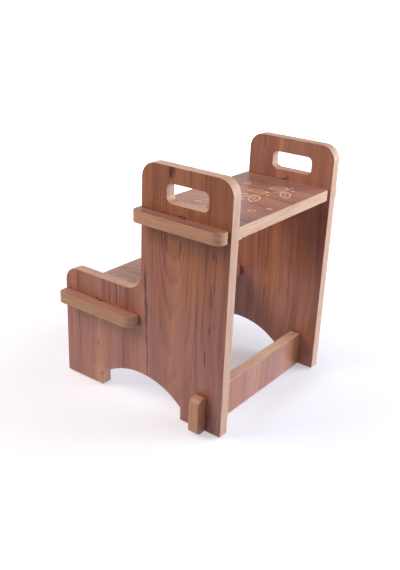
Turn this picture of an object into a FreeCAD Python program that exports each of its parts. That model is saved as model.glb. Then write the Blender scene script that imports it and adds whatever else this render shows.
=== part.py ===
import FreeCAD, Part
import math
import os
from FreeCAD import Vector as V

# Toddler kitchen helper stool: a tool-free flat-pack step stool.
# Two L-shaped side panels carry an upper platform and a lower step, and a
# rear stretcher on edge ties the panels together near the floor.
# Every crossing is a cross-halving (egg-crate) joint: each board is notched
# halfway, so that the two notches close on one another.
#
# Frame: millimetres. X is the stool's width, with the right-hand panel at +X
# for a person standing in front of it. The steps are climbed from -Y towards
# +Y. Z is up. The origin is on the floor under the middle of the footprint.
#
# Depths are first measured from the rear edge of the side panels, going
# forward ("back distance", b), then placed with y = DEPTH / 2 - b.

# ---- driving dimensions -------------------------------------------------
T = 18.0               # thickness of every board

DEPTH = 315.0          # side panel, rear edge to front edge
TOWER_DEPTH = 156.5    # side panel, rear edge to the front of the tall part
PANEL_HEIGHT = 389.5   # side panel, bottom edge to top edge of the tall part
WING_HEIGHT = 188.5    # side panel, bottom edge to top edge of the low part
OUTER_WIDTH = 292.0    # over the outer faces of the two side panels

R_TOWER = 24.0         # rounded top corners of the tall part
R_WING = 24.0          # rounded front corner of the low part
R_CORNER = 29.5        # inside corner between the low and the tall part

ARCH_REAR = 75.4       # rear foot's front face, b
ARCH_FRONT = 235.5     # front foot's rear face, b
ARCH_SPRING = 20.8     # height at which the arch meets the feet
ARCH_TOP = 51.3        # height of the arch's crown

HOLD_REAR = 39.0       # hand hold, rear end, b
HOLD_FRONT = 111.4     # hand hold, front end, b
HOLD_LOW = 337.6       # hand hold, lower edge
HOLD_HIGH = 365.6      # hand hold, upper edge
R_HOLD = 8.5           # hand hold's corner radius

PLATFORM_TOP = 321.5   # platform's upper face over the panels' bottom edge
PLATFORM_REAR = 3.5    # platform, rear edge, b
PLATFORM_FRONT = 160.0 # platform, front edge, b
PLATFORM_HALF = 82.0   # where the platform's and the panels' notches meet, b

STEP_TOP = 150.3       # step's upper face over the panels' bottom edge
STEP_REAR = 158.5      # step, rear edge, b
STEP_FRONT = 314.5     # step, front edge, b
STEP_HALF = 242.0      # where the step's and the panels' notches meet, b

STRETCHER_REAR = 27.6  # stretcher's rear face, b
STRETCHER_HEIGHT = 58.8
STRETCHER_HALF = 29.4  # height at which the stretcher's and panels' notches meet

TONGUE = 20.3          # platform and step stand out of the panels' outer faces
TENON = 18.8           # stretcher stands out of the panels' outer faces
R_TONGUE_REAR = 15.0   # tongue, outer corner at the notch mouth
R_TONGUE_FRONT = 11.0  # tongue, outer corner at the front
R_TENON_TOP = 12.0     # tenon, outer corner at the notch mouth
R_TENON_BOTTOM = 8.0   # tenon, outer corner at the bottom
R_LEAD = 4.2           # rounded lead-in at the mouth of each board's notch

SIDE_PLAY = 0.15       # play on each side of a panel in a board's notch
TOP_PLAY = 0.30        # play above a board in a panel's notch

R_RELIEF = 3.0         # cutter relief at the inside corners of each notch
RELIEF_BACK = 3.6      # its centre, back from the notch's end
RELIEF_IN = 1.2        # its centre, inside the notch's side

PAD_D = 11.0           # clear bumper foot under each panel foot
PAD_H = 2.5
PAD_DOME = 0.7         # the bumper's rim is rounded off by this much
PAD_FRONT = 252.0      # front bumpers, b
PAD_REAR = 14.0        # rear bumpers, b

# ---- derived ------------------------------------------------------------
X_OUT = OUTER_WIDTH / 2.0
X_IN = X_OUT - T
Z0 = PAD_H             # the boards' bottom edges stand on the bumpers


def yb(b):
    return DEPTH / 2.0 - b


def arc_through(a, m, c):
    return Part.Arc(a, m, c).toShape()


def path_face(points, radii, place):
    """Closed outline with straight sides and tangent corner arcs.

    points are (u, v) corners in order, radii the corner radius at each, and
    place maps (u, v) to a point in space.
    """
    n = len(points)
    starts, ends, mids = [], [], []
    for i in range(n):
        p = points[i]
        a = points[i - 1]
        c = points[(i + 1) % n]
        r = radii[i]
        if r <= 0:
            starts.append(p)
            ends.append(p)
            mids.append(None)
            continue
        ax, ay = a[0] - p[0], a[1] - p[1]
        cx, cy = c[0] - p[0], c[1] - p[1]
        la, lc = math.hypot(ax, ay), math.hypot(cx, cy)
        ax, ay, cx, cy = ax / la, ay / la, cx / lc, cy / lc
        half = math.acos(max(-1.0, min(1.0, ax * cx + ay * cy))) / 2.0
        d = r / math.tan(half)
        bx, by = ax + cx, ay + cy
        lb = math.hypot(bx, by)
        bx, by = bx / lb, by / lb
        centre = (p[0] + bx * r / math.sin(half), p[1] + by * r / math.sin(half))
        starts.append((p[0] + ax * d, p[1] + ay * d))
        ends.append((p[0] + cx * d, p[1] + cy * d))
        mids.append((centre[0] - bx * r, centre[1] - by * r))
    edges = []
    for i in range(n):
        if mids[i] is not None:
            edges.append(arc_through(place(*starts[i]), place(*mids[i]), place(*ends[i])))
        j = (i + 1) % n
        e, s = ends[i], starts[j]
        if math.hypot(e[0] - s[0], e[1] - s[1]) > 1e-6:
            edges.append(Part.makeLine(place(*e), place(*s)))
    return Part.Face(Part.Wire(Part.__sortEdges__(edges)))


def prism(face, direction):
    return face.extrude(direction)


# ---- side panel, drawn in the YZ plane at x = 0 and extruded along +X -----
def on_panel(b, z):
    return V(0, yb(b), z + Z0)


def panel_outline():
    half = (ARCH_FRONT - ARCH_REAR) / 2.0
    mid = (ARCH_FRONT + ARCH_REAR) / 2.0
    corners = [
        (0.0, 0.0), (0.0, PANEL_HEIGHT), (TOWER_DEPTH, PANEL_HEIGHT),
        (TOWER_DEPTH, WING_HEIGHT), (DEPTH, WING_HEIGHT), (DEPTH, 0.0),
        (ARCH_FRONT, 0.0), (ARCH_FRONT, ARCH_SPRING), (ARCH_REAR, ARCH_SPRING),
        (ARCH_REAR, 0.0),
    ]
    radii = [0, R_TOWER, R_TOWER, R_CORNER, R_WING, 0, 0, 0, 0, 0]
    body = path_face(corners, radii, on_panel)
    # the arch's circular segment above the springing line
    crown = Part.Wire([
        arc_through(on_panel(ARCH_REAR, ARCH_SPRING), on_panel(mid, ARCH_TOP),
                    on_panel(ARCH_FRONT, ARCH_SPRING)),
        Part.makeLine(on_panel(ARCH_FRONT, ARCH_SPRING), on_panel(ARCH_REAR, ARCH_SPRING)),
    ])
    return body, Part.Face(crown)


def box(x0, x1, b0, b1, z0, z1):
    """Box given by x, back distance and height over the panels' bottom edge."""
    y0, y1 = yb(b1), yb(b0)
    return Part.makeBox(x1 - x0, y1 - y0, z1 - z0, V(x0, y0, z0 + Z0))


def relief_x(x, b, z):
    return Part.makeCylinder(R_RELIEF, T + 2, V(x - 1, yb(b), z + Z0), V(1, 0, 0))


def side_panel(x0):
    body, crown = panel_outline()
    wide = V(T, 0, 0)
    panel = prism(body, wide).cut(prism(crown, wide))
    # hand hold
    hold = path_face(
        [(HOLD_REAR, HOLD_LOW), (HOLD_REAR, HOLD_HIGH), (HOLD_FRONT, HOLD_HIGH),
         (HOLD_FRONT, HOLD_LOW)], [R_HOLD] * 4, on_panel)
    hold = prism(hold, V(T + 2, 0, 0))
    hold.translate(V(-1, 0, 0))
    cutters = [hold]
    # notches open at the front, for the platform and the step
    for end, mouth, top in ((PLATFORM_HALF, TOWER_DEPTH, PLATFORM_TOP),
                            (STEP_HALF, DEPTH, STEP_TOP)):
        cutters.append(box(-1, T + 1, end, mouth + 5, top - T, top + TOP_PLAY))
        for z in (top + TOP_PLAY - RELIEF_IN, top - T + RELIEF_IN):
            cutters.append(relief_x(0, end + RELIEF_BACK, z))
    # notch open at the bottom, for the stretcher
    r0 = STRETCHER_REAR - SIDE_PLAY
    r1 = STRETCHER_REAR + T + SIDE_PLAY
    cutters.append(box(-1, T + 1, r0, r1, -5, STRETCHER_HALF))
    for b in (r0 + RELIEF_IN, r1 - RELIEF_IN):
        cutters.append(relief_x(0, b, STRETCHER_HALF - RELIEF_BACK))
    for c in cutters:
        panel = panel.cut(c)
    panel.translate(V(x0, 0, 0))
    return panel.removeSplitter()


# ---- platform and step, drawn in the XY plane and extruded upward ---------
def flat_board(rear, front, half, top):
    """Board lying flat, notched from its rear edge around both panels."""
    end = X_OUT + TONGUE
    z = top - T + Z0

    def place(x, b):
        return V(x, yb(b), z)

    a = X_IN - SIDE_PLAY
    c = X_OUT + SIDE_PLAY
    pts = [(-end, rear), (-c, rear), (-c, half), (-a, half), (-a, rear),
           (a, rear), (a, half), (c, half), (c, rear), (end, rear),
           (end, front), (-end, front)]
    rad = [R_TONGUE_REAR, R_LEAD, 0, 0, R_LEAD,
           R_LEAD, 0, 0, R_LEAD, R_TONGUE_REAR,
           R_TONGUE_FRONT, R_TONGUE_FRONT]
    board = prism(path_face(pts, rad, place), V(0, 0, T))
    for s in (-1, 1):
        for x in (a + RELIEF_IN, c - RELIEF_IN):
            board = board.cut(Part.makeCylinder(
                R_RELIEF, T + 2, V(s * x, yb(half - RELIEF_BACK), z - 1), V(0, 0, 1)))
    return board.removeSplitter()


# ---- rear stretcher, drawn in the XZ plane and extruded along the depth ----
def stretcher():
    end = X_OUT + TENON
    y = yb(STRETCHER_REAR + T)

    def place(x, z):
        return V(x, y, z + Z0)

    a = X_IN - SIDE_PLAY
    c = X_OUT + SIDE_PLAY
    top = STRETCHER_HEIGHT
    half = STRETCHER_HALF
    pts = [(-end, top), (-c, top), (-c, half), (-a, half), (-a, top),
           (a, top), (a, half), (c, half), (c, top), (end, top),
           (end, 0.0), (-end, 0.0)]
    rad = [R_TENON_TOP, R_LEAD, 0, 0, R_LEAD,
           R_LEAD, 0, 0, R_LEAD, R_TENON_TOP,
           R_TENON_BOTTOM, R_TENON_BOTTOM]
    board = prism(path_face(pts, rad, place), V(0, T, 0))
    for s in (-1, 1):
        for x in (a + RELIEF_IN, c - RELIEF_IN):
            board = board.cut(Part.makeCylinder(
                R_RELIEF, T + 2, V(s * x, y - 1, half + RELIEF_BACK + Z0), V(0, 1, 0)))
    return board.removeSplitter()


def bumper(x, b):
    """Low round bumper with its lower rim rounded off."""
    r = PAD_D / 2.0
    d = PAD_DOME
    k = d * (1 - math.cos(math.pi / 4))
    profile = Part.Wire([
        Part.makeLine(V(0, 0, 0), V(r - d, 0, 0)),
        arc_through(V(r - d, 0, 0), V(r - k, 0, k), V(r, 0, d)),
        Part.makeLine(V(r, 0, d), V(r, 0, PAD_H)),
        Part.makeLine(V(r, 0, PAD_H), V(0, 0, PAD_H)),
        Part.makeLine(V(0, 0, PAD_H), V(0, 0, 0)),
    ])
    solid = Part.Face(profile).revolve(V(0, 0, 0), V(0, 0, 1), 360)
    solid.translate(V(x, yb(b), 0))
    return solid


XM = (X_OUT + X_IN) / 2.0
nodes = {
    "side_panel_right": side_panel(X_IN),
    "side_panel_left": side_panel(-X_OUT),
    "platform": flat_board(PLATFORM_REAR, PLATFORM_FRONT, PLATFORM_HALF, PLATFORM_TOP),
    "step": flat_board(STEP_REAR, STEP_FRONT, STEP_HALF, STEP_TOP),
    "rear_stretcher": stretcher(),
    "bumper_front_right": bumper(XM, PAD_FRONT),
    "bumper_rear_right": bumper(XM, PAD_REAR),
    "bumper_front_left": bumper(-XM, PAD_FRONT),
    "bumper_rear_left": bumper(-XM, PAD_REAR),
}

os.makedirs("parts", exist_ok=True)
for name, shape in nodes.items():
    if shape.ShapeType != "Solid" and len(shape.Solids) == 1:
        shape = shape.Solids[0]
    shape.exportStep("parts/%s.step" % name)
    bb = shape.BoundBox
    print("%-20s solids %d valid %s volume %.1f cm3  x %.1f..%.1f y %.1f..%.1f z %.1f..%.1f" % (
        name, len(shape.Solids), shape.isValid(), shape.Volume / 1000.0,
        bb.XMin, bb.XMax, bb.YMin, bb.YMax, bb.ZMin, bb.ZMax))
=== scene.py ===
import math

import bpy
from mathutils import Matrix, Vector
from mathutils.geometry import tessellate_polygon


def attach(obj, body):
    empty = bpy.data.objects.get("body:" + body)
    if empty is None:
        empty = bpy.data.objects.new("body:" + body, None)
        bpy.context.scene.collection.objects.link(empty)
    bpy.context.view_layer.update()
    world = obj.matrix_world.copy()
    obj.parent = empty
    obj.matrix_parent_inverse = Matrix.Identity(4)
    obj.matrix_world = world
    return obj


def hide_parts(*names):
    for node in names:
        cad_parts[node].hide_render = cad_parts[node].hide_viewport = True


# Toddler kitchen helper stool: flat-pack boards faced in walnut over a pale
# core, with a lasered leaf sprig on the platform and clear bumper feet.
# Lengths below are millimetres and are scaled to metres when a mesh is made.

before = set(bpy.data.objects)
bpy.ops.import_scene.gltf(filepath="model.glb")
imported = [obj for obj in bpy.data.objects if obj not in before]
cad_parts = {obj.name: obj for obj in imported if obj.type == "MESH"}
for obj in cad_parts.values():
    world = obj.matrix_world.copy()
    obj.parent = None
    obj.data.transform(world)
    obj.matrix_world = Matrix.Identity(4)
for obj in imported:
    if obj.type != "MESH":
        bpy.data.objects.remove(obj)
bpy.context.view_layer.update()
scene = bpy.context.scene
MM = 0.001

# ------------------------------------------------------------------ sizes --
T = 18.0
DEPTH, TOWER_DEPTH = 315.0, 156.5
PANEL_HEIGHT, WING_HEIGHT = 389.5, 188.5
X_OUT, X_IN = 146.0, 128.0
Z0 = 2.5
ARCH_REAR, ARCH_FRONT, ARCH_SPRING, ARCH_TOP = 75.4, 235.5, 20.8, 51.3
PLATFORM_TOP, PLATFORM_REAR, PLATFORM_FRONT, PLATFORM_HALF = 321.5, 3.5, 160.0, 82.0
STEP_TOP, STEP_REAR, STEP_FRONT, STEP_HALF = 150.3, 158.5, 314.5, 242.0
STRETCHER_REAR, STRETCHER_HEIGHT, STRETCHER_HALF = 27.6, 58.8, 29.4
TONGUE, TENON = 20.3, 18.8
SIDE_PLAY, TOP_PLAY = 0.15, 0.30
R_RELIEF, RELIEF_BACK, RELIEF_IN = 3.0, 3.6, 1.2
EASE = 0.8             # sanded radius along every edge
VENEER = 0.55          # thickness of the walnut facing
ROOM = 0.01


# --------------------------------------------------------- plane geometry --
def unit(x, y):
    n = math.hypot(x, y) or 1.0
    return x / n, y / n


def rounded(corners):
    """Closed outline from (u, v, radius) corners, arcs sampled finely."""
    out = []
    n = len(corners)
    for i in range(n):
        px, py, r = corners[i]
        ax, ay, _ = corners[i - 1]
        cx, cy, _ = corners[(i + 1) % n]
        if r <= 0:
            out.append((px, py))
            continue
        ax, ay = unit(ax - px, ay - py)
        cx, cy = unit(cx - px, cy - py)
        half = math.acos(max(-1.0, min(1.0, ax * cx + ay * cy))) / 2
        d = r / math.tan(half)
        bx, by = unit(ax + cx, ay + cy)
        ox, oy = px + bx * r / math.sin(half), py + by * r / math.sin(half)
        a0 = math.atan2(py + ay * d - oy, px + ax * d - ox)
        a1 = math.atan2(py + cy * d - oy, px + cx * d - ox)
        turn = (a1 - a0 + math.pi) % (2 * math.pi) - math.pi
        steps = max(3, int(math.ceil(abs(turn) * 180 / math.pi / (3.5 if r > 3 else 18))))
        for k in range(steps + 1):
            a = a0 + turn * k / steps
            out.append((ox + r * math.cos(a), oy + r * math.sin(a)))
    return out


def bump(a, b, c):
    """Points where the side a-b bulges over a cutter relief centred on c."""
    dx, dy = unit(b[0] - a[0], b[1] - a[1])
    t = (c[0] - a[0]) * dx + (c[1] - a[1]) * dy
    fx, fy = a[0] + dx * t, a[1] + dy * t
    ox, oy = unit(fx - c[0], fy - c[1])
    h = math.hypot(fx - c[0], fy - c[1])
    w = math.acos(h / R_RELIEF)
    pts = []
    for k in range(13):
        g = -w + 2 * w * k / 12
        pts.append((c[0] + R_RELIEF * (ox * math.cos(g) + dx * math.sin(g)),
                    c[1] + R_RELIEF * (oy * math.cos(g) + dy * math.sin(g)), 0))
    return pts


def area(loop):
    return 0.5 * sum(loop[i - 1][0] * p[1] - p[0] * loop[i - 1][1] for i, p in enumerate(loop))


def turned(loop, ccw=True):
    return loop if (area(loop) > 0) == ccw else loop[::-1]


def cleaned(loop):
    out = []
    for p in loop:
        if not out or math.hypot(p[0] - out[-1][0], p[1] - out[-1][1]) > 1e-3:
            out.append(p)
    while math.hypot(out[0][0] - out[-1][0], out[0][1] - out[-1][1]) < 1e-3:
        out.pop()
    return out


def inset(loop, d):
    """Loop moved d to its left, which is into the material."""
    if d == 0:
        return list(loop)
    out = []
    n = len(loop)
    for i in range(n):
        p, a, c = loop[i], loop[i - 1], loop[(i + 1) % n]
        e0 = unit(p[0] - a[0], p[1] - a[1])
        e1 = unit(c[0] - p[0], c[1] - p[1])
        n0, n1 = (-e0[1], e0[0]), (-e1[1], e1[0])
        m = unit(n0[0] + n1[0], n0[1] + n1[1])
        k = d / max(0.35, m[0] * n0[0] + m[1] * n0[1])
        out.append((p[0] + m[0] * k, p[1] + m[1] * k))
    return out


def cap(loops):
    """Triangles of the first loop less the others, all counter-clockwise."""
    flat = [p for loop in loops for p in loop]
    tris = tessellate_polygon([[Vector((p[0], p[1], 0)) for p in loop] for loop in loops])
    out = []
    for a, b, c in tris:
        s = ((flat[b][0] - flat[a][0]) * (flat[c][1] - flat[a][1])
             - (flat[c][0] - flat[a][0]) * (flat[b][1] - flat[a][1]))
        if abs(s) > 1e-9:
            out.append((a, b, c) if s > 0 else (a, c, b))
    return out


def board(name, outer, holes, place, mats, engraved=()):
    """Board with eased edges from a closed outline and holes.

    place maps (u, v, w) to a point, w running from the low face to the high
    one. mats are low face, high face, edge and groove.
    engraved holds (outline, island or None, inner) grooves cut into the high
    face. An inner groove lies on the island of the groove before it.
    """
    loops = [turned(cleaned(outer), True)] + [turned(cleaned(h), False) for h in holes]
    mirror = (Vector(place(1, 0, 0)) - Vector(place(0, 0, 0))).cross(
        Vector(place(0, 1, 0)) - Vector(place(0, 0, 0))).dot(
        Vector(place(0, 0, 1)) - Vector(place(0, 0, 0))) < 0
    levels = []
    steps = 4
    for k in range(steps + 1):
        g = math.pi / 2 * k / steps
        levels.append((EASE * (1 - math.sin(g)), EASE * (1 - math.cos(g))))
    rings = [(i, d) for i, d in levels] + [(i, T - d) for i, d in reversed(levels)]
    verts, faces, slots, smooth = [], [], [], []

    def add(face, slot, soft=True):
        faces.append(tuple(reversed(face)) if mirror else tuple(face))
        slots.append(slot)
        smooth.append(soft)

    start = {}
    for li, loop in enumerate(loops):
        for ri, (off, w) in enumerate(rings):
            start[li, ri] = len(verts)
            verts += [place(u, v, w) for u, v in inset(loop, off)]
    last = len(rings) - 1
    for li, loop in enumerate(loops):
        n = len(loop)
        for ri in range(last):
            a, b = start[li, ri], start[li, ri + 1]
            depth = min((rings[ri][1] + rings[ri + 1][1]) / 2, T - (rings[ri][1] + rings[ri + 1][1]) / 2)
            if depth < VENEER * 0.62:
                slot = 0 if ri < last / 2 else 1
            else:
                slot = 2
            for i in range(n):
                j = (i + 1) % n
                add((a + i, a + j, b + j, b + i), slot)
    # low face, seen from below, then the high one with its grooves
    index = [start[li, 0] + i for li, loop in enumerate(loops) for i in range(len(loop))]
    for tri in cap([inset(loop, EASE) for loop in loops]):
        add([index[k] for k in reversed(tri)], 0, False)
    top = [inset(loop, EASE) for loop in loops]
    index = [start[li, last] + i for li, loop in enumerate(loops) for i in range(len(loop))]
    islands = []
    for outline, island, inner in engraved:
        outline = turned(cleaned(outline), False)
        shape = [outline] + ([turned(cleaned(island), True)] if island else [])
        bases = []
        for k, loop in enumerate(shape):
            hi = len(verts)
            verts += [place(u, v, T) for u, v in loop]
            lo = len(verts)
            verts += [place(u, v, T - GROOVE) for u, v in inset(loop, -0.12)]
            for i in range(len(loop)):
                j = (i + 1) % len(loop)
                add((lo + i, lo + j, hi + j, hi + i), 3, False)
            bases.append((hi, lo))
        low = [inset(loop, -0.12) for loop in shape]
        flat = [bases[k][1] + i for k, loop in enumerate(shape) for i in range(len(loop))]
        for tri in cap(low):
            add([flat[k] for k in tri], 3, False)
        rim = [bases[0][0] + i for i in range(len(outline))]
        if inner:
            islands[-1][0].append(outline)
            islands[-1][1].extend(rim)
        else:
            top.append(outline)
            index += rim
        if island:
            islands.append(([shape[1]], [bases[1][0] + i for i in range(len(shape[1]))]))
    for tri in cap(top):
        add([index[k] for k in tri], 1, False)
    for outlines, where in islands:
        for tri in cap(outlines):
            add([where[k] for k in tri], 1, False)

    mesh = bpy.data.meshes.new(name)
    mesh.from_pydata([tuple(c * MM for c in v) for v in verts], [], faces)
    for m in mats:
        mesh.materials.append(m)
    for poly, slot, soft in zip(mesh.polygons, slots, smooth):
        poly.material_index = slot
        poly.use_smooth = soft
    mesh.validate()
    mesh.update()
    sharpen(mesh, 34)
    obj = bpy.data.objects.new(name, mesh)
    scene.collection.objects.link(obj)
    wn = obj.modifiers.new("face_weights", "WEIGHTED_NORMAL")
    wn.mode = "FACE_AREA"
    wn.weight = 100
    wn.keep_sharp = True
    return obj


def sharpen(mesh, degrees):
    """Marks edges sharper than an angle, so that weighted normals split there."""
    limit = math.cos(math.radians(degrees))
    seen = {}
    for p in mesh.polygons:
        for key in p.edge_keys:
            seen.setdefault(key, []).append(p.index)
    marks = [False] * len(mesh.edges)
    for e in mesh.edges:
        near = seen.get(e.key, ())
        if len(near) == 2:
            a, b = mesh.polygons[near[0]], mesh.polygons[near[1]]
            marks[e.index] = a.normal.dot(b.normal) < limit
    attr = mesh.attributes.get("sharp_edge") or mesh.attributes.new("sharp_edge", "BOOLEAN", "EDGE")
    attr.data.foreach_set("value", marks)


# ------------------------------------------------------------- node graph --
class Graph:
    def __init__(self, name):
        self.mat = bpy.data.materials.new(name)
        self.mat.use_nodes = True
        self.tree = self.mat.node_tree
        self.tree.nodes.clear()
        self.out = self.tree.nodes.new("ShaderNodeOutputMaterial")
        self.bsdf = self.tree.nodes.new("ShaderNodeBsdfPrincipled")
        self.tree.links.new(self.bsdf.outputs[0], self.out.inputs["Surface"])
        co = self.tree.nodes.new("ShaderNodeTexCoord")
        self.mm = self.scale(co.outputs["Object"], 1000.0)
        sep = self.tree.nodes.new("ShaderNodeSeparateXYZ")
        self.tree.links.new(self.mm, sep.inputs[0])
        self.x, self.y, self.z = sep.outputs

    def put(self, socket, value):
        if value is None:
            return
        if isinstance(value, (int, float)):
            socket.default_value = value
        elif isinstance(value, (tuple, list)):
            if len(value) == 3 and len(socket.default_value) == 4:
                value = (*value, 1.0)
            socket.default_value = value
        else:
            self.tree.links.new(value, socket)

    def math(self, op, a, b=None, c=None, clamp=False):
        n = self.tree.nodes.new("ShaderNodeMath")
        n.operation = op
        n.use_clamp = clamp
        for s, v in zip(n.inputs, (a, b, c)):
            self.put(s, v)
        return n.outputs[0]

    def add(self, a, b):
        return self.math("ADD", a, b)

    def sub(self, a, b):
        return self.math("SUBTRACT", a, b)

    def mul(self, a, b):
        return self.math("MULTIPLY", a, b)

    def mad(self, a, b, c):
        return self.math("MULTIPLY_ADD", a, b, c)

    def scale(self, v, k):
        n = self.tree.nodes.new("ShaderNodeVectorMath")
        n.operation = "SCALE"
        self.put(n.inputs[0], v)
        n.inputs["Scale"].default_value = k
        return n.outputs[0]

    def vec(self, x, y, z=0.0):
        n = self.tree.nodes.new("ShaderNodeCombineXYZ")
        for s, v in zip(n.inputs, (x, y, z)):
            self.put(s, v)
        return n.outputs[0]

    def noise(self, vec, detail=2.0, rough=0.5, distort=0.0, scale=1.0):
        n = self.tree.nodes.new("ShaderNodeTexNoise")
        n.noise_dimensions = "3D"
        self.put(n.inputs["Vector"], vec)
        n.inputs["Scale"].default_value = scale
        n.inputs["Detail"].default_value = detail
        n.inputs["Roughness"].default_value = rough
        n.inputs["Distortion"].default_value = distort
        return n.outputs["Fac"]

    def step(self, v, lo, hi, to0=0.0, to1=1.0):
        n = self.tree.nodes.new("ShaderNodeMapRange")
        n.interpolation_type = "SMOOTHSTEP"
        self.put(n.inputs["Value"], v)
        for s, k in zip(("From Min", "From Max", "To Min", "To Max"), (lo, hi, to0, to1)):
            n.inputs[s].default_value = k
        return n.outputs[0]

    def ramp(self, fac, stops):
        n = self.tree.nodes.new("ShaderNodeValToRGB")
        r = n.color_ramp
        while len(r.elements) < len(stops):
            r.elements.new(0.5)
        for e, (pos, col) in zip(r.elements, stops):
            e.position = pos
        for e, (pos, col) in zip(r.elements, stops):
            e.color = (*col, 1.0)
        self.put(n.inputs[0], fac)
        return n.outputs[0]

    def mix(self, fac, a, b, kind="MIX"):
        n = self.tree.nodes.new("ShaderNodeMix")
        n.data_type = "RGBA"
        n.blend_type = kind
        self.put(n.inputs[0], fac)
        self.put(n.inputs[6], a)
        self.put(n.inputs[7], b)
        return n.outputs[2]

    def bump(self, height, distance, strength=1.0, normal=None):
        n = self.tree.nodes.new("ShaderNodeBump")
        n.inputs["Strength"].default_value = strength
        n.inputs["Distance"].default_value = distance
        self.put(n.inputs["Height"], height)
        if normal is not None:
            self.tree.links.new(normal, n.inputs["Normal"])
        return n.outputs[0]


def srgb(r, g, b):
    return tuple(c / 12.92 / 255 if c <= 10.3 else ((c / 255 + 0.055) / 1.055) ** 2.4 for c in (r, g, b))


# Walnut tones: dark, middle and light of a rosy and of a tawny figure
ROSY = [(0.00, srgb(76, 46, 43)), (0.30, srgb(136, 87, 77)), (0.55, srgb(174, 120, 107)),
        (0.80, srgb(196, 142, 129)), (1.00, srgb(214, 164, 151))]
TAWNY = [(0.00, srgb(78, 43, 29)), (0.30, srgb(142, 88, 61)), (0.55, srgb(180, 120, 86)),
         (0.80, srgb(202, 144, 108)), (1.00, srgb(222, 170, 136))]


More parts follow.
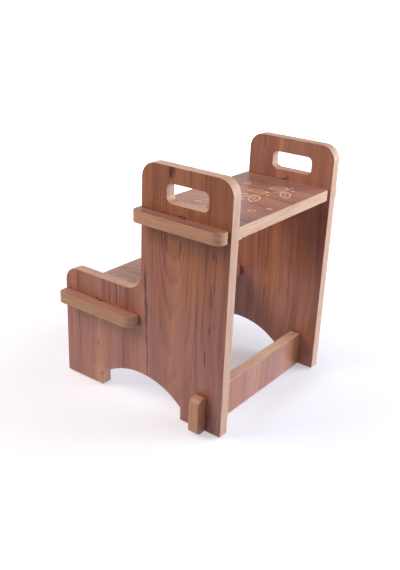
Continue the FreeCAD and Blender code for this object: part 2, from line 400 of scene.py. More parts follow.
def walnut(name, across, along, seed, marks=(), tawny=0.0, tone=0.0, rings=1.0, centre=None, oval=None, pinned=0.5, tint=(1.0, 1.0, 1.0)):
    """Lacquered walnut facing. across and along are axis names.

    marks: ("streak", u0, u1, v0, v1, width, amount) darkens a line along the grain,
    ("knot", u, v, ru, rv, amount) an eye with the grain drawn round it,
    ("warm", u, v, ru, rv, amount) and ("tone", ...) soft local changes,
    ("band", u0, u1, edge, tone, warm) a strip matched from another leaf.
    centre, (u, v, radius, across, along), puts an arched heart figure there, and
    oval, (u, v, half width, half length to each side, gap), nested ovals.
    pinned is the strength of the pinstripes, which ("pin", ...) changes locally,
    and tint scales the colours.
    """
    g = Graph(name)
    axis = {"x": g.x, "y": g.y, "z": g.z}
    u, v = axis[across], axis[along]
    s = seed * 17.31

    def at(su, sv, k):
        return g.vec(g.mul(u, 1 / su), g.mul(v, 1 / sv), s + k)

    # the grain wanders, and parts round each knot
    wide = g.sub(g.noise(at(55, 240, 0.0), 1.0), 0.5)
    near = g.sub(g.noise(at(13, 60, 3.1), 1.5), 0.5)
    w = g.mad(wide, 26.0, g.mad(near, 4.2, u))
    eyes = None
    for m in marks:
        if m[0] != "knot":
            continue
        _, ku, kv, ru, rv, amount = m
        du = g.mad(near, 1.5, g.sub(u, ku))
        dv = g.sub(v, kv)
        q = g.add(g.math("POWER", g.mul(g.math("ABSOLUTE", du), 1 / ru), 2.0),
                  g.math("POWER", g.mul(g.math("ABSOLUTE", dv), 1 / rv), 2.0))
        fall = g.math("DIVIDE", 1.0, g.mad(q, 0.5, 1.0))
        w = g.mad(g.mul(du, fall), -0.75, w)
        eye = g.mul(g.step(q, 0.15, 1.3, 1.0, 0.0), amount)
        halo = g.mul(g.step(q, 0.6, 7.0, 1.0, 0.0), amount * 0.22)
        eye = g.math("MAXIMUM", eye, halo)
        eyes = eye if eyes is None else g.math("MAXIMUM", eyes, eye)

    def on(su, sv, k):
        return g.vec(g.mul(w, 1 / su), g.mul(v, 1 / sv), s + k)

    broad = g.noise(on(24, 420, 7.7), 2.0, 0.55)
    medium = g.noise(on(5.2, 230, 11.3), 2.5, 0.6)
    fine = g.noise(on(1.25, 60, 15.9), 2.0, 0.6)
    fibre = g.noise(on(0.42, 16, 19.2), 1.0)
    cloud = g.noise(at(42, 110, 23.6), 2.0, 0.5)

    # the facing is matched from strips, each with a tone of its own
    vor = g.tree.nodes.new("ShaderNodeTexVoronoi")
    vor.voronoi_dimensions = "1D"
    vor.feature = "F1"
    vor.inputs["Scale"].default_value = 1.0
    slow = g.mad(g.sub(g.noise(at(90, 330, 2.2), 1.0), 0.5), 16.0, u)
    g.put(vor.inputs["W"], g.mad(slow, 1 / 33.0, s))
    strip = g.tree.nodes.new("ShaderNodeSeparateColor")
    g.put(strip.inputs[0], vor.outputs["Color"])

    # growth lines: contours of a slow field, each one sharp on its late side
    if centre:
        cu, cv, radius, across_step, along_step = centre
        du = g.sub(w, cu)
        field = g.mul(g.math("SQRT", g.mad(du, du, radius * radius)), 1 / across_step)
        fall = g.step(g.math("ABSOLUTE", du), 12.0, 46.0, 1.0, 0.0)
        field = g.sub(field, g.mul(g.mul(g.sub(v, cv), 1 / along_step), fall))
    elif oval:
        cu, cv, ru, low, high, gap = oval
        du = g.mul(g.sub(w, cu), 1 / ru)
        dv = g.sub(v, cv)
        lo = g.mul(g.math("MINIMUM", dv, 0.0), 1 / low)
        hi = g.mul(g.math("MAXIMUM", dv, 0.0), 1 / high)
        q = g.math("SQRT", g.mad(du, du, g.mad(lo, lo, g.mul(hi, hi))))
        field = g.mad(q, 1 / gap, 10.9 - 1 / gap)
    else:
        field = g.mul(w, 1 / 11.0)
    field = g.add(field, g.mul(g.noise(at(70, 300, 29.0), 1.5), 0.8 if oval else 5.0))
    saw = g.math("FRACT", field)
    late = g.mul(g.step(saw, 0.15, 0.86), g.step(saw, 0.86, 1.0, 1.0, 0.0))
    depth = g.step(g.noise(at(30, 150, 31.0), 1.0), 0.36, 0.66, 0.15, 1.0)
    late = g.mul(g.mul(late, depth), rings)
    if oval:
        late = g.mul(late, g.step(q, 1.6, 3.4, 1.0, 0.25))
    # pinstripes: thin lines that run on and off along the board
    pin = g.noise(on(1.9, 330, 34.0), 1.0)
    pins = g.mul(g.step(pin, 0.54, 0.68), g.step(g.noise(at(34, 200, 37.0), 1.0), 0.40, 0.60, 0.25, 1.0))

    t = g.mad(g.sub(broad, 0.5), 0.62, 0.62 + tone)
    t = g.mad(g.sub(strip.outputs[0], 0.5), 0.14, t)
    t = g.mad(g.sub(medium, 0.5), 0.26, t)
    t = g.mad(g.sub(fine, 0.5), 0.24, t)
    t = g.mad(g.sub(fibre, 0.5), 0.15, t)
    t = g.mad(late, -0.13, t)
    pinning = pinned
    for m in marks:
        if m[0] == "pin":
            _, ku, kv, ru, rv, amount = m
            q = g.add(g.math("POWER", g.mul(g.math("ABSOLUTE", g.sub(u, ku)), 1 / ru), 2.0),
                      g.math("POWER", g.mul(g.math("ABSOLUTE", g.sub(v, kv)), 1 / rv), 2.0))
            pinning = g.mad(g.step(q, 0.4, 1.6, 1.0, 0.0), amount, pinning)
    t = g.mad(g.mul(pins, pinning), -0.16, t)
    warm = g.mad(g.sub(strip.outputs[1], 0.5), 0.6, g.mul(g.step(cloud, 0.38, 0.66), 0.6))
    warm = g.add(warm, tawny)
    dark = None
    for m in marks:
        if m[0] == "streak":
            _, ku, kw, v0, v1, width, amount = m
            bend = g.mad(near, 2.4, g.mad(g.sub(g.noise(at(200, 46, ku), 1.0), 0.5), 4.0, u))
            bend = g.mad(v, -(kw - ku) / (v1 - v0), bend)
            d = g.math("ABSOLUTE", g.sub(bend, ku - v0 * (kw - ku) / (v1 - v0)))
            swell = g.step(g.noise(at(300, 24, ku + 5.0), 1.0), 0.35, 0.65, 0.45, 1.15)
            line = g.step(g.math("DIVIDE", d, swell), width * 0.10, width, 1.0, 0.0)
            ends = g.mul(g.step(v, v0, v0 + 0.22 * (v1 - v0)), g.step(v, v1 - 0.22 * (v1 - v0), v1, 1.0, 0.0))
            line = g.mul(g.mul(line, ends), g.mad(fine, 0.7 * amount, 0.6 * amount))
            dark = line if dark is None else g.math("MAXIMUM", dark, line)
        elif m[0] == "band":
            _, u0, u1, edge, amount, heat = m
            side = g.mad(g.sub(g.noise(at(60, 190, 51.0), 1.0), 0.5), 14.0, u)
            span = g.mul(g.step(side, u0, u0 + edge), g.step(side, u1 - edge, u1, 1.0, 0.0))
            t = g.mad(span, amount, t)
            warm = g.mad(span, heat, warm)
        elif m[0] in ("warm", "tone"):
            _, ku, kv, ru, rv, amount = m
            q = g.add(g.math("POWER", g.mul(g.math("ABSOLUTE", g.sub(w, ku)), 1 / ru), 2.0),
                      g.math("POWER", g.mul(g.math("ABSOLUTE", g.sub(v, kv)), 1 / rv), 2.0))
            patch = g.mul(g.step(q, 0.2, 1.6, 1.0, 0.0), amount)
            if m[0] == "warm":
                warm = g.add(warm, patch)
            else:
                t = g.add(t, patch)
    if dark is not None:
        t = g.mad(dark, -0.5, t)
    if eyes is not None:
        t = g.mad(eyes, -0.5, t)
    t = g.math("ADD", t, 0.0, clamp=True)
    warm = g.math("ADD", warm, 0.0, clamp=True)
    rosy, golden = [[(at_t, tuple(min(1.0, c * k) for c, k in zip(col, tint))) for at_t, col in stops]
                    for stops in (ROSY, TAWNY)]
    col = g.mix(warm, g.ramp(t, rosy), g.ramp(t, golden))

    # open pores: short dark dashes along the grain
    dash = g.noise(on(0.34, 6.5, 41.0), 0.0)
    pore = g.mul(g.step(dash, 0.62, 0.74), g.mad(late, 0.8, 0.45))
    col = g.mix(g.mul(pore, 0.40), col, srgb(72, 42, 34))
    g.put(g.bsdf.inputs["Base Color"], col)

    r = g.mad(g.sub(medium, 0.5), 0.10, 0.40)
    r = g.mad(g.sub(g.noise(g.scale(g.mm, 1 / 31.0), 2.0), 0.5), 0.10, r)
    r = g.mad(pore, 0.10, r)
    g.put(g.bsdf.inputs["Roughness"], r)
    h = g.mad(pore, -0.8, g.mad(fine, 0.35, g.mul(fibre, 0.25)))
    g.put(g.bsdf.inputs["Normal"], g.bump(h, 0.00006, 0.8))
    g.bsdf.inputs["Specular IOR Level"].default_value = 0.5
    g.bsdf.inputs["Coat Weight"].default_value = 0.30
    g.bsdf.inputs["Coat Roughness"].default_value = 0.22
    return g.mat


def core(name, thick, low, seed, tint=(1.0, 1.0, 1.0), ends=None):
    """Cut edge of the board: pale plies running round it, sealed with lacquer.

    thick is the axis through the board and low the height of its low face.
    ends tints the edges outside the panels darker and warmer: partly a warmer tone of the cut ends, partly painted
    shade.
    """
    g = Graph(name)
    axis = {"x": g.x, "y": g.y, "z": g.z}
    t = g.sub(axis[thick], low)
    others = [axis[a] for a in "xyz" if a != thick]
    s = seed * 9.7
    run = g.noise(g.vec(g.mul(others[0], 1 / 70.0), g.mul(others[1], 1 / 70.0), s), 1.0)
    tw = g.mad(g.sub(run, 0.5), 0.8, t)
    # plies, alternately long and end grain, with thin glue lines
    phase = g.mul(tw, 1 / 2.95)
    saw = g.math("FRACT", phase)
    ply = g.mul(g.step(saw, 0.0, 0.10), g.step(saw, 0.44, 0.54, 1.0, 0.0))
    glue = g.math("MAXIMUM", g.step(g.math("ABSOLUTE", g.sub(saw, 0.51)), 0.0, 0.05, 1.0, 0.0),
                  g.step(g.math("ABSOLUTE", g.sub(g.math("FRACT", g.add(phase, 0.5)), 0.52)), 0.0, 0.05, 1.0, 0.0))
    long_a = g.noise(g.vec(g.mul(others[0], 1 / 40.0), g.mul(others[1], 1 / 40.0), g.mul(t, 1 / 1.4)), 2.0, 0.6)
    long_b = g.noise(g.vec(g.mul(others[0], 1 / 11.0), g.mul(others[1], 1 / 11.0), g.mul(t, 1 / 0.30)), 1.0)
    wide = g.noise(g.vec(g.mul(others[0], 1 / 60.0), g.mul(others[1], 1 / 60.0), g.mul(t, 1 / 3.4)), 2.0)
    dots = g.noise(g.vec(g.mul(others[0], 1 / 0.6), g.mul(others[1], 1 / 0.6), g.mul(t, 1 / 0.5)), 1.0)
    k = g.mad(g.sub(long_a, 0.5), 0.70, 0.56)
    k = g.mad(g.sub(long_b, 0.5), 0.30, k)
    k = g.mad(g.sub(wide, 0.5), 0.85, k)
    k = g.mad(ply, 0.08, k)
    k = g.mad(g.mul(ply, g.step(dots, 0.58, 0.72)), -0.16, k)
    k = g.mad(glue, -0.07, k)
    k = g.mad(g.step(long_b, 0.66, 0.78), -0.20, k)
    k = g.math("ADD", k, 0.0, clamp=True)

    def plies(scale):
        stops = ((0.0, (160, 112, 84)), (0.35, (204, 162, 133)), (0.6, (222, 184, 158)), (1.0, (236, 206, 184)))
        return g.ramp(k, [(at_k, tuple(min(1.0, c * m) for c, m in zip(srgb(*rgb), scale))) for at_k, rgb in stops])

    col = plies(tint)
    # edges outside the panels: a warmer tone, and darker as painted shade
    if ends:
        outside = g.step(g.math("ABSOLUTE", g.x), X_OUT - 2.0, X_OUT + 3.0)
        col = g.mix(outside, col, plies(ends))
    g.put(g.bsdf.inputs["Base Color"], col)
    g.put(g.bsdf.inputs["Roughness"], g.mad(g.sub(long_a, 0.5), 0.14, 0.47))
    h = g.mad(glue, -0.5, g.mad(long_b, 0.4, g.mul(dots, 0.2)))
    g.put(g.bsdf.inputs["Normal"], g.bump(h, 0.00005, 0.7))
    g.bsdf.inputs["Specular IOR Level"].default_value = 0.45
    g.bsdf.inputs["Coat Weight"].default_value = 0.12
    g.bsdf.inputs["Coat Roughness"].default_value = 0.3
    return g.mat


# ----------------------------------------------------------------- boards --
def yb(b):
    return DEPTH / 2 - b


def panel_outline():
    """Side panel seen from the side, in back distance and height."""
    e = 0.9
    up, lo = PLATFORM_TOP + TOP_PLAY, PLATFORM_TOP - T
    su, sl = STEP_TOP + TOP_PLAY, STEP_TOP - T
    r0, r1 = STRETCHER_REAR - SIDE_PLAY, STRETCHER_REAR + T + SIDE_PLAY
    pts = [(0, 0, e), (0, PANEL_HEIGHT, 24), (TOWER_DEPTH, PANEL_HEIGHT, 24)]
    for end, mouth, hi, low in ((PLATFORM_HALF, TOWER_DEPTH, up, lo), (STEP_HALF, DEPTH, su, sl)):
        pts.append((mouth, hi, e))
        pts += bump((mouth, hi), (end, hi), (end + RELIEF_BACK, hi - RELIEF_IN))
        pts += [(end, hi, 0), (end, low, 0)]
        pts += bump((end, low), (mouth, low), (end + RELIEF_BACK, low + RELIEF_IN))
        pts.append((mouth, low, e))
        if mouth == TOWER_DEPTH:
            pts += [(TOWER_DEPTH, WING_HEIGHT, 29.5), (DEPTH, WING_HEIGHT, 24)]
    pts += [(DEPTH, 0, e), (ARCH_FRONT, 0, e), (ARCH_FRONT, ARCH_SPRING, 0.6)]
    half = (ARCH_FRONT - ARCH_REAR) / 2
    mid = (ARCH_FRONT + ARCH_REAR) / 2
    rise = ARCH_TOP - ARCH_SPRING
    rad = (half * half + rise * rise) / (2 * rise)
    cz = ARCH_TOP - rad
    span = math.asin(half / rad)
    for k in range(1, 48):
        a = span - 2 * span * k / 48
        pts.append((mid + rad * math.sin(a), cz + rad * math.cos(a), 0))
    pts += [(ARCH_REAR, ARCH_SPRING, 0.6), (ARCH_REAR, 0, e), (r1, 0, e)]
    pts += bump((r1, 0), (r1, STRETCHER_HALF), (r1 - RELIEF_IN, STRETCHER_HALF - RELIEF_BACK))
    pts += [(r1, STRETCHER_HALF, 0), (r0, STRETCHER_HALF, 0)]
    pts += bump((r0, STRETCHER_HALF), (r0, 0), (r0 + RELIEF_IN, STRETCHER_HALF - RELIEF_BACK))
    pts.append((r0, 0, e))
    return [(yb(b), h + Z0) for b, h in rounded(pts)]


def hold_outline():
    pts = [(39.0, 337.6, 8.5), (39.0, 365.6, 8.5), (111.4, 365.6, 8.5), (111.4, 337.6, 8.5)]
    return [(yb(b), h + Z0) for b, h in rounded(pts)]


def notched(end, rear, front, half, r_mouth, r_front, place):
    """Board with a notch for each panel, open on its rear (or top) side."""
    a, c = X_IN - SIDE_PLAY, X_OUT + SIDE_PLAY
    sign = 1 if half > rear else -1
    back = half - sign * RELIEF_BACK
    pts = [(-end, rear, r_mouth), (-c, rear, 4.2)]
    pts += bump((-c, rear), (-c, half), (-c + RELIEF_IN, back))
    pts += [(-c, half, 0), (-a, half, 0)]
    pts += bump((-a, half), (-a, rear), (-a - RELIEF_IN, back))
    pts += [(-a, rear, 4.2), (a, rear, 4.2)]
    pts += bump((a, rear), (a, half), (a + RELIEF_IN, back))
    pts += [(a, half, 0), (c, half, 0)]
    pts += bump((c, half), (c, rear), (c - RELIEF_IN, back))
    pts += [(c, rear, 4.2), (end, rear, r_mouth), (end, front, r_front), (-end, front, r_front)]
    return [place(u, v) for u, v in rounded(pts)]


# --------------------------------------------------- lasered leaf sprig ----
GROOVE = 0.35


def stroke(points, width):
    """Closed outline round an open line, with rounded ends."""
    n = len(points)
    left, right = [], []
    for i, p in enumerate(points):
        a = points[max(0, i - 1)]
        c = points[min(n - 1, i + 1)]
        dx, dy = unit(c[0] - a[0], c[1] - a[1])
        taper = width / 2 * (0.45 + 0.55 * math.sin(math.pi * min(1.0, (i + 0.6) / n * 1.15 + 0.02)))
        left.append((p[0] - dy * taper, p[1] + dx * taper))
        right.append((p[0] + dy * taper, p[1] - dx * taper))
    return left + right[::-1]


def leaf(base, angle, length, width, line):
    """A pointed leaf as a closed band, with a short vein inside."""
    ca, sa = math.cos(angle), math.sin(angle)

    def put(x, y):
        return base[0] + x * ca - y * sa, base[1] + x * sa + y * ca

    def half(s, w):
        return w * (math.sin(math.pi * s ** 0.82) ** 0.9)

    n = 14
    band = []
    for grow in (0.0, line):
        up = [(grow * 1.7 + (length - grow * 3.6) * k / n, half(k / n, width / 2 - grow)) for k in range(n + 1)]
        down = [(x, -y) for x, y in up[1:-1]]
        band.append([put(x, y) for x, y in up + down[::-1]])
    vein = [put(length * (0.26 + 0.42 * k / 5), 0.25 * math.sin(k)) for k in range(6)]
    return band, stroke(vein, line * 0.85)


def disc(c, r, n=18):
    return [(c[0] + r * math.cos(2 * math.pi * k / n), c[1] + r * math.sin(2 * math.pi * k / n)) for k in range(n)]


def sprig():
    """(outline, island, inner) for each groove, in platform x and y."""
    cuts = []
    line = 2.3

    def stem(t):
        x = -98 + 192 * t
        return x, 82 + 26 * math.cos(math.pi * (0.08 + 0.84 * t)) + 4 * math.sin(3 * math.pi * t)

    def heading(t):
        a, b = stem(t - 0.005), stem(t + 0.005)
        return math.atan2(b[1] - a[1], b[0] - a[0])

    breaks = [0.0, 0.31, 0.60, 0.875]
    for i in range(3):
        a, b = breaks[i] + (0.02 if i else 0), breaks[i + 1]
        cuts.append((stroke([stem(a + (b - a) * k / 26) for k in range(27)], 2.6), None, False))
    for i in range(7):
        t = 0.04 + 0.118 * i
        side = 1 if i % 2 else -1
        h = heading(t)
        grow = math.sin(math.pi * (0.22 + 0.62 * t))
        ang = h + side * math.radians(50 - 12 * t)
        p = stem(t)
        start = (p[0] - math.sin(h) * side * 3.6 + math.cos(h) * 2.0,
                 p[1] + math.cos(h) * side * 3.6 + math.sin(h) * 2.0)
        band, vein = leaf(start, ang, 24 + 14 * grow, 14.5 + 4.5 * grow, line)
        cuts.append((band[0], band[1], False))
        cuts.append((vein, None, True))
    tip = stem(0.905)
    band, vein = leaf(tip, heading(0.93) + 0.1, 28, 15.0, line)
    cuts.append((band[0], band[1], False))
    cuts.append((vein, None, True))
    # berries in the open spaces, and a few loose rings
    for t, side, off, r in ((0.10, 1, 9.0, 2.8), (0.335, 1, 9.5, 2.8), (0.455, -1, 10.0, 2.8),
                            (0.57, 1, 9.5, 2.8), (0.69, -1, 9.5, 2.6)):
        h = heading(t)
        p = stem(t)
        c = (p[0] - math.sin(h) * side * off, p[1] + math.cos(h) * side * off)
        cuts.append((disc(c, r), None, False))
    for c, r in (((-66, 40), 5.4), ((-44, 24), 4.0), ((50, 126), 5.4), ((26, 140), 4.0), ((92, 104), 4.0)):
        cuts.append((disc(c, r, 28), disc(c, r - 2.0, 28), False))
    return cuts


# -------------------------------------------------------------- materials --
outer_marks = [
    ("streak", 17.5, 8.0, 20, 262, 4.4, 1.15),
    ("streak", 53.0, 47.5, 371, 404, 2.6, 1.0),
    ("streak", 52.5, 60.5, 373, 404, 2.4, 0.9),
    ("tone", 53.5, 394.0, 7.0, 18.0, -0.30),
    ("streak", 113.5, 113.0, 362, 406, 2.0, 0.8),
    ("pin", -90.0, 90.0, 84.0, 130.0, 0.85),
    ("streak", 73.0, 72.0, 250, 304, 3.4, 0.6),
    ("streak", 40.0, 38.5, 270, 330, 2.2, 0.35),
    ("streak", 132.0, 136.0, 190, 300, 2.0, 0.5),
    ("streak", 116.0, 119.0, 120, 320, 1.8, 0.45),
    ("streak", 100.0, 104.0, 60, 200, 1.6, 0.4),
    ("streak", -131.0, -130.5, 158, 196, 2.8, 0.38),
    ("streak", -61.0, -60.0, 158, 196, 1.6, 0.7),
    ("streak", -40.0, -41.0, 158, 200, 1.4, 0.55),
    ("streak", -14.0, -16.0, 60, 200, 1.4, 0.5),
    ("streak", -30.0, -34.0, 40, 150, 1.4, 0.5),
    ("streak", -56.0, -54.0, 40, 130, 1.6, 0.5),
    ("streak", -112.0, -108.0, 30, 130, 1.6, 0.5),
    ("streak", -128.0, -130.0, 10, 130, 1.6, 0.45),
    ("streak", 124.6, 123.4, 108, 136, 3.6, 0.85),
    ("streak", 129.8, 128.4, 200, 244, 4.4, 0.4),
    ("streak", -46.8, -48.6, 150, 202, 2.4, 0.9),
    ("tone", -118.0, 176.0, 18.0, 26.0, -0.06),
    ("knot", -79.8, 22.5, 3.0, 4.8, 0.95),
    # painted shade: the next two spots darken the face seen through the cutter relief holes beside the step and
    # platform tongues
    ("knot", -80.9, 152.9, 2.7, 1.7, 1.0),
    ("knot", 78.9, 324.1, 2.7, 1.7, 1.0),
    ("knot", -87.6, 75.0, 1.8, 5.2, 0.8),
    ("knot", 128.9, 169.5, 1.3, 3.4, 0.6),
    ("knot", 137.2, 177.0, 1.1, 2.8, 0.55),
    ("knot", 131.1, 281.8, 1.7, 3.4, 0.5),
    ("warm", -80.0, 60.0, 16.0, 110.0, 0.5),
    ("warm", 22.0, 350.0, 30.0, 70.0, 0.5),
    ("warm", 80.0, 372.0, 110.0, 56.0, 0.35),
    ("tone", 130.0, 370.0, 34.0, 60.0, 0.07),
    ("warm", 110.0, 292.0, 70.0, 34.0, 0.45),
    ("warm", 80.0, 330.0, 100.0, 160.0, 0.75),
    ("warm", -90.0, 70.0, 90.0, 90.0, -0.30),
    ("band", 103.0, 190.0, 3.0, -0.15, -0.10),
    ("band", -66.0, -10.0, 5.0, -0.05, -0.10),
    ("tone", -38.0, 178.0, 36.0, 22.0, -0.10),
    ("tone", -82.0, 16.0, 26.0, 22.0, 0.13),
    ("tone", 74.0, 292.0, 80.0, 26.0, -0.08),
    ("tone", 74.0, 370.0, 90.0, 40.0, -0.05),
    ("tone", 128.0, 40.0, 30.0, 50.0, 0.06),
    ("tone", 100.0, 350.0, 110.0, 90.0, -0.05),
    ("tone", -80.0, 60.0, 14.0, 110.0, 0.17),
]
inner_marks = [
    ("pin", 24.0, 190.0, 30.0, 150.0, 0.6),
    ("band", 30.0, 48.0, 3.0, -0.04, -0.10),
    ("warm", 62.0, 200.0, 12.0, 130.0, 0.5),
    ("tone", 72.0, 240.0, 70.0, 90.0, -0.06),
    ("tone", 62.0, 200.0, 10.0, 120.0, 0.05),
    ("streak", 50.5, 50.0, 70, 300, 1.6, 0.5),
    ("tone", 6.0, 100.0, 26.0, 60.0, -0.16),
    ("warm", 6.0, 100.0, 30.0, 60.0, -0.6),
    ("warm", 100.0, 345.0, 110.0, 80.0, -0.35),
    ("tone", 120.0, 340.0, 60.0, 90.0, 0.12),
    ("tone", 90.0, 290.0, 120.0, 26.0, -0.10),
    ("streak", 30.0, 29.0, 366, 404, 2.2, 0.5),
    ("streak", 96.0, 98.0, 60, 260, 1.6, 0.5),
    ("knot", 78.0, 328.5, 2.0, 3.0, 0.6),
    ("band", 50.0, 92.0, 2.5, 0.03, 0.10),
    ("tone", 38.0, 90.0, 13.0, 50.0, -0.10),
    ("tone", 80.0, 92.0, 36.0, 60.0, -0.11),
    ("tone", 45.0, 160.0, 50.0, 60.0, -0.05),
    ("warm", 63.0, 375.0, 16.0, 44.0, 0.6),
    ("tone", 63.0, 375.0, 15.0, 44.0, 0.09),
    ("tone", 138.0, 352.0, 24.0, 50.0, 0.04),
    ("warm", 138.0, 352.0, 24.0, 50.0, -0.15),
]
top_marks = [
    ("warm", -20.0, 90.0, 20.0, 120.0, 0.6),
    ("warm", 70.0, 100.0, 14.0, 120.0, 0.4),
    ("tone", -92.0, 130.0, 50.0, 60.0, 0.14),
    ("warm", -92.0, 130.0, 60.0, 70.0, -0.5),
    ("streak", -54.0, -50.0, 20, 150, 4.0, 0.55),
    ("streak", 18.0, 22.0, 0, 150, 3.0, 0.6),
    ("streak", 36.0, 40.0, 60, 160, 1.8, 0.6),
    ("streak", -88.0, -90.0, 20, 150, 2.4, 0.55),
    ("streak", 92.0, 90.0, 60, 160, 2.0, 0.5),
    ("tone", -100.0, 80.0, 22.0, 100.0, -0.10),
    # painted shade: a dark spot round the cutter relief hole at the near tongue
    ("knot", 147.6, 79.0, 1.9, 2.9, 1.0),
    ("warm", 157.0, 80.0, 13.0, 90.0, -0.5),
]
step_marks = [
    ("streak", 70.0, 60.0, -160, -60, 2.4, 0.5),
    ("tone", 52.0, -120.0, 30.0, 60.0, 0.06),
    # painted shade: a dark spot round the cutter relief hole at the near tongue
    ("knot", 147.6, -80.9, 1.9, 2.9, 1.0),
    ("tone", 157.0, -90.0, 13.0, 90.0, 0.09),
]
M = {}
M["pr_out"] = walnut("walnut_right_outer", "y", "z", 1, outer_marks, centre=(60.0, 184.0, 6.0, 12.5, 44.0), rings=1.0, pinned=0.14, tone=0.035,
                     tint=(1.05, 0.975, 0.955))
M["pr_in"] = walnut("walnut_right_inner", "y", "z", 2)
M["pl_in"] = walnut("walnut_left_inner", "y", "z", 3, inner_marks, rings=0.6, pinned=0.25, tint=(1.03, 1.03, 0.98))
M["pl_out"] = walnut("walnut_left_outer", "y", "z", 4, [("knot", 60.0, 220.0, 2.6, 4.5, 0.8)])
M["pf_top"] = walnut("walnut_platform_top", "x", "y", 5, top_marks, tone=0.04, rings=1.3, tint=(0.965, 0.985, 1.07))
M["pf_low"] = walnut("walnut_platform_under", "x", "y", 6)
# the step top's tint lifts green and blue: a painted bluish sheen of reflected light
M["st_top"] = walnut("walnut_step_top", "x", "y", 7, step_marks, oval=(61.0, -117.0, 24.0, 22.0, 40.0, 0.70), tone=0.025, rings=1.7, pinned=0.2,
                     tint=(0.985, 1.055, 1.27))
M["st_low"] = walnut("walnut_step_under", "x", "y", 8)
M["rs_rear"] = walnut("walnut_stretcher_rear", "x", "z", 9, [("band", -150.0, -92.0, 3.0, -0.05, 0.9), ("streak", -104.0, -106.0, 0, 64, 2.0, 0.5),
                      ("warm", 157.0, 30.0, 13.0, 60.0, 0.9), ("tone", 157.0, 30.0, 13.0, 60.0, 0.06)], tone=0.06,
                     tint=(0.92, 0.865, 0.86))
M["rs_front"] = walnut("walnut_stretcher_front", "x", "z", 10)
M["core_right"] = core("core_right", "x", X_IN, 1, (0.955, 0.953, 0.98))
M["core_left"] = core("core_left", "x", -X_OUT, 2, (0.955, 0.953, 0.98))
# the last tint of each darkens and warms the edges outside the panels: partly a warmer tone, partly painted shade
M["core_platform"] = core("core_platform", "z", PLATFORM_TOP - T + Z0, 3, (0.958, 0.963, 0.952), (0.976, 0.872, 0.81))
M["core_step"] = core("core_step", "z", STEP_TOP - T + Z0, 4, (0.93, 0.90, 0.86), (0.845, 0.742, 0.64))
M["core_stretcher"] = core("core_stretcher", "y", yb(STRETCHER_REAR + T), 5, (0.96, 1.03, 1.09), (0.955, 0.815, 0.725))


def laser():
    """Floor of the lasered grooves: pale core with faint streaks."""
    g = Graph("lasered_groove")
    n = g.noise(g.scale(g.mm, 1 / 1.3), 2.0)
    lines = g.noise(g.vec(g.mul(g.x, 1 / 6.0), g.mul(g.y, 1 / 0.35), 0.0), 1.0)
    k = g.mad(g.sub(lines, 0.5), 0.5, n)
    g.put(g.bsdf.inputs["Base Color"], g.ramp(k, [(0.2, srgb(214, 172, 141)), (0.55, srgb(240, 208, 182)), (0.9, srgb(248, 224, 204))]))
    g.put(g.bsdf.inputs["Roughness"], g.mad(n, 0.15, 0.6))
    g.put(g.bsdf.inputs["Normal"], g.bump(k, 0.00008, 0.6))
    return g.mat


def rubber():
    g = Graph("clear_rubber")
    n = g.noise(g.scale(g.mm, 1 / 1.1), 2.0)
    g.put(g.bsdf.inputs["Base Color"], g.ramp(n, [(0.3, srgb(158, 158, 163)), (0.7, srgb(184, 184, 188))]))
    g.put(g.bsdf.inputs["Roughness"], g.mad(n, 0.18, 0.22))
    g.put(g.bsdf.inputs["Normal"], g.bump(n, 0.00004, 0.5))
    g.bsdf.inputs["Transmission Weight"].default_value = 0.45
    g.bsdf.inputs["IOR"].default_value = 1.45
    return g.mat


M["laser"] = laser()
M["rubber"] = rubber()


def finish_board(obj, node):
    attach(obj, "root")
    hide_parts(node)
    return obj


outline, hold = panel_outline(), hold_outline()
finish_board(board("panel_right", outline, [hold], lambda u, v, w: (X_IN + w, u, v),
                   [M["pr_in"], M["pr_out"], M["core_right"], M["laser"]]), "side_panel_right")
finish_board(board("panel_left", outline, [hold], lambda u, v, w: (-X_OUT + w, u, v),
                   [M["pl_out"], M["pl_in"], M["core_left"], M["laser"]]), "side_panel_left")


def flat(u, v):
    return u, yb(v)


z_pf, z_st = PLATFORM_TOP - T + Z0, STEP_TOP - T + Z0
finish_board(board("platform_board",
                   notched(X_OUT + TONGUE, PLATFORM_REAR, PLATFORM_FRONT, PLATFORM_HALF, 15.0, 11.0, flat),
                   [], lambda u, v, w: (u, v, z_pf + w),
                   [M["pf_low"], M["pf_top"], M["core_platform"], M["laser"]], sprig()), "platform")
finish_board(board("step_board",
                   notched(X_OUT + TONGUE, STEP_REAR, STEP_FRONT, STEP_HALF, 15.0, 11.0, flat),
                   [], lambda u, v, w: (u, v, z_st + w),
                   [M["st_low"], M["st_top"], M["core_step"], M["laser"]]), "step")
y_rs = yb(STRETCHER_REAR + T)
finish_board(board("stretcher_board",
                   notched(X_OUT + TENON, STRETCHER_HEIGHT, 0.0, STRETCHER_HALF, 12.0, 8.0, lambda u, v: (u, v + Z0)),
                   [], lambda u, v, w: (u, y_rs + w, v),
                   [M["rs_front"], M["rs_rear"], M["core_stretcher"], M["laser"]]), "rear_stretcher")


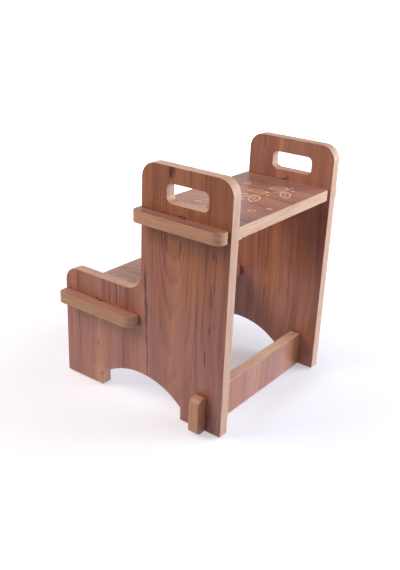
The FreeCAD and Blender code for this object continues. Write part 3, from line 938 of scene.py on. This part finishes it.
def bumper(name, x, y):
    """Low clear bumper: a domed disc with a flat pad under it."""
    prof = [(0.0, 2.5), (4.9, 2.5), (5.3, 2.35), (5.5, 2.0), (5.5, 0.75), (5.38, 0.38),
            (5.12, 0.12), (4.75, 0.0), (3.4, 0.0), (3.15, 0.18), (0.0, 0.22)]
    n = 40
    verts, faces = [(x, y, prof[0][1])], []
    for r, z in prof[1:-1]:
        verts += [(x + r * math.cos(2 * math.pi * k / n), y + r * math.sin(2 * math.pi * k / n), z) for k in range(n)]
    verts.append((x, y, prof[-1][1]))
    for k in range(n):
        faces.append((0, 1 + k, 1 + (k + 1) % n))
    for i in range(len(prof) - 3):
        a, b = 1 + i * n, 1 + (i + 1) * n
        for k in range(n):
            j = (k + 1) % n
            faces.append((a + k, b + k, b + j, a + j))
    a = 1 + (len(prof) - 3) * n
    for k in range(n):
        faces.append((len(verts) - 1, a + (k + 1) % n, a + k))
    mesh = bpy.data.meshes.new(name)
    mesh.from_pydata([tuple(c * MM for c in v) for v in verts], [], faces)
    mesh.materials.append(M["rubber"])
    mesh.validate()
    for p in mesh.polygons:
        p.use_smooth = True
    sharpen(mesh, 50)
    obj = bpy.data.objects.new(name, mesh)
    scene.collection.objects.link(obj)
    return obj


for side, sx in (("right", 1), ("left", -1)):
    for end, b in (("front", 252.0), ("rear", 14.0)):
        foot = bumper("foot_%s_%s" % (end, side), sx * (X_OUT + X_IN) / 2, yb(b))
        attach(foot, "root")
        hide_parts("bumper_%s_%s" % (end, side))

# ------------------------------------------------------------------ stage --
# A white sweep: it glows a little towards the camera, more so away from the stool, as a backdrop with its own lamps
# does; the dimmer glow round the stool is painted shade on the floor.
# Near the stool it also glows for glossy rays alone, a painted reflection in the lacquered faces. It bounces plain
# light.
mesh = bpy.data.meshes.new("floor")
S = 60.0
mesh.from_pydata([(-S, -S, 0), (S, -S, 0), (S, S, 0), (-S, S, 0)], [], [(0, 1, 2, 3)])
floor = bpy.data.objects.new("floor", mesh)
scene.collection.objects.link(floor)
fg = Graph("studio_floor")
fg.put(fg.bsdf.inputs["Base Color"], srgb(208, 209, 223))
fg.bsdf.inputs["Roughness"].default_value = 0.9
fg.bsdf.inputs["Specular IOR Level"].default_value = 0.1
far = fg.math("SQRT", fg.add(fg.mul(fg.x, fg.x), fg.mul(fg.y, fg.y)))
ex, ey = fg.add(fg.x, 70.0), fg.sub(fg.y, 20.0)
near = fg.math("SQRT", fg.add(fg.mul(ex, ex), fg.mul(ey, ey)))
path = fg.tree.nodes.new("ShaderNodeLightPath")
# camera glow, dimmer round the stool: painted shade on the floor there
glow = fg.add(fg.step(near, 70.0, 225.0, 0.36, 0.53), fg.step(far, 210.0, 1400.0, 0.0, 0.75))
glow = fg.mul(path.outputs["Is Camera Ray"], glow)
# glossy glow near the stool: a painted reflection in the lacquered faces
glow = fg.add(glow, fg.mul(path.outputs["Is Glossy Ray"], fg.step(far, 250.0, 800.0, 0.68, 0.0)))
fg.put(fg.bsdf.inputs["Emission Color"], (0.935, 0.955, 1.0, 1.0))
fg.put(fg.bsdf.inputs["Emission Strength"], glow)
mesh.materials.append(fg.mat)

# White behind the stool, but the light on it comes from the softboxes alone
world = bpy.data.worlds.new("studio")
scene.world = world
world.use_nodes = True
bg = world.node_tree.nodes["Background"]
bg.inputs["Color"].default_value = (1.0, 1.0, 1.0, 1.0)
seen = world.node_tree.nodes.new("ShaderNodeLightPath")
level = world.node_tree.nodes.new("ShaderNodeMapRange")
level.inputs["To Min"].default_value = ROOM
level.inputs["To Max"].default_value = 1.05
world.node_tree.links.new(seen.outputs["Is Camera Ray"], level.inputs["Value"])
world.node_tree.links.new(level.outputs[0], bg.inputs["Strength"])


def softbox(name, bearing, height, watts, side=1.3):
    """Square softbox 2.2 m from the stool, bearing from +Y towards -X."""
    a, e = math.radians(bearing), math.radians(height)
    d = Vector((-math.sin(a) * math.cos(e), math.cos(a) * math.cos(e), math.sin(e)))
    power = max(watts)
    lamp = bpy.data.lights.new(name, "AREA")
    lamp.shape = "SQUARE"
    lamp.size = side
    lamp.energy = power
    lamp.color = tuple(c / power for c in watts)
    obj = bpy.data.objects.new(name, lamp)
    scene.collection.objects.link(obj)
    obj.matrix_world = (Matrix.Translation(Vector((0, 0, 0.2)) + d * 2.2)
                        @ (-d).to_track_quat("-Z", "Y").to_matrix().to_4x4())
    return obj


# Main light low and high from the rear left corner of the stool, a warm fill
# on its right side, and weak soft light from the rear, the front and the left
softbox("main_low", 45, 12, (27.6, 27.6, 27.6))
softbox("main_high", 45, 38, (17.4, 17.4, 17.4))
softbox("rear_low", 0, 12, (4.2, 4.2, 4.2))
softbox("rear_high", 0, 38, (6.3, 6.3, 6.3))
softbox("fill_warm", 225, 38, (31.9, 26.2, 21.1))
softbox("front_high", 180, 38, (7.4, 7.4, 7.4))
softbox("front_top", 180, 65, (3.0, 3.0, 3.0))
softbox("corner_low", 135, 12, (5.1, 5.1, 5.1))

# ----------------------------------------------------------------- camera --
cam = bpy.data.cameras.new("camera")
cam.sensor_fit = "HORIZONTAL"
cam.sensor_width = 36.0
cam.lens = 67.718
cam.shift_x = -0.025
cam.shift_y = -0.005
cam.clip_start = 0.05
cam.clip_end = 200.0
camera = bpy.data.objects.new("camera", cam)
scene.collection.objects.link(camera)
camera.matrix_world = Matrix(((-0.593711, -0.29205, 0.749809, 0.91949),
                              (0.803449, -0.266628, 0.532333, 0.67573),
                              (0.044452, 0.918486, 0.392947, 0.64771),
                              (0, 0, 0, 1)))
scene.camera = camera
scene.view_settings.view_transform = "Standard"
scene.view_settings.look = "None"
